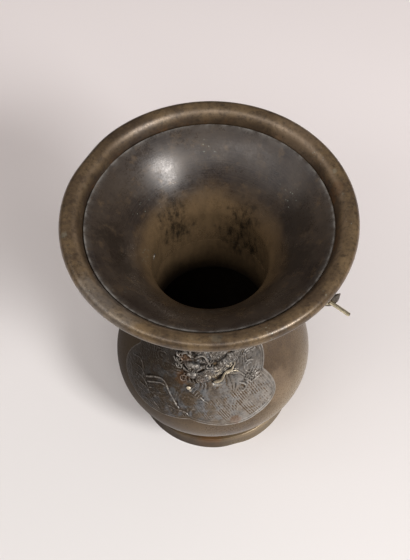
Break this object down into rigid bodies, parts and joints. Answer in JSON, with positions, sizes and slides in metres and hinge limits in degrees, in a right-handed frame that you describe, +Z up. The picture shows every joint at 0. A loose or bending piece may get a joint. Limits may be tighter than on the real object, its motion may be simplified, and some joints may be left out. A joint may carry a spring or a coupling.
{
  "type": "bronze vase",
  "caption": "Cast bronze flower vase with a trumpet mouth, rounded rim, pear-shaped belly, lobed dragon relief panels, hooked handles with dowel pins and a stepped foot.",
  "frame": {"origin": "centre of the standing ring, on the plane the vase stands on", "axes": "+Z up along the vase's axis, -Y towards the front relief panel, X through both handles"},
  "size_m": [0.2048, 0.2, 0.233],
  "materials": {
    "rim_bronze": "olive-brown patina, worn smooth",
    "funnel_bronze": "purple-grey patina, soft sheen",
    "belly_bronze": "brown patina, soft sheen",
    "foot_bronze": "brown patina with orange wear",
    "base_bronze": "dark cast skin",
    "relief_bronze": "silver-grey rubbed relief on a dark ground",
    "handle_bronze": "dark grey mottled cast skin",
    "pin_brass": "bare cut brass"
  },
  "bodies": {
    "root": {"mouth_rim": "rim_bronze", "trumpet_mouth": "funnel_bronze", "belly": "belly_bronze", "foot_ring": "foot_bronze", "base_plate": "base_bronze", "front_relief_panel": "relief_bronze", "rear_relief_panel": "relief_bronze", "right_handle": "handle_bronze", "right_handle_pin": "pin_brass", "right_handle_rivet": "pin_brass", "left_handle": "handle_bronze", "left_handle_pin": "pin_brass", "left_handle_rivet": "pin_brass"}
  },
  "joints": []
}
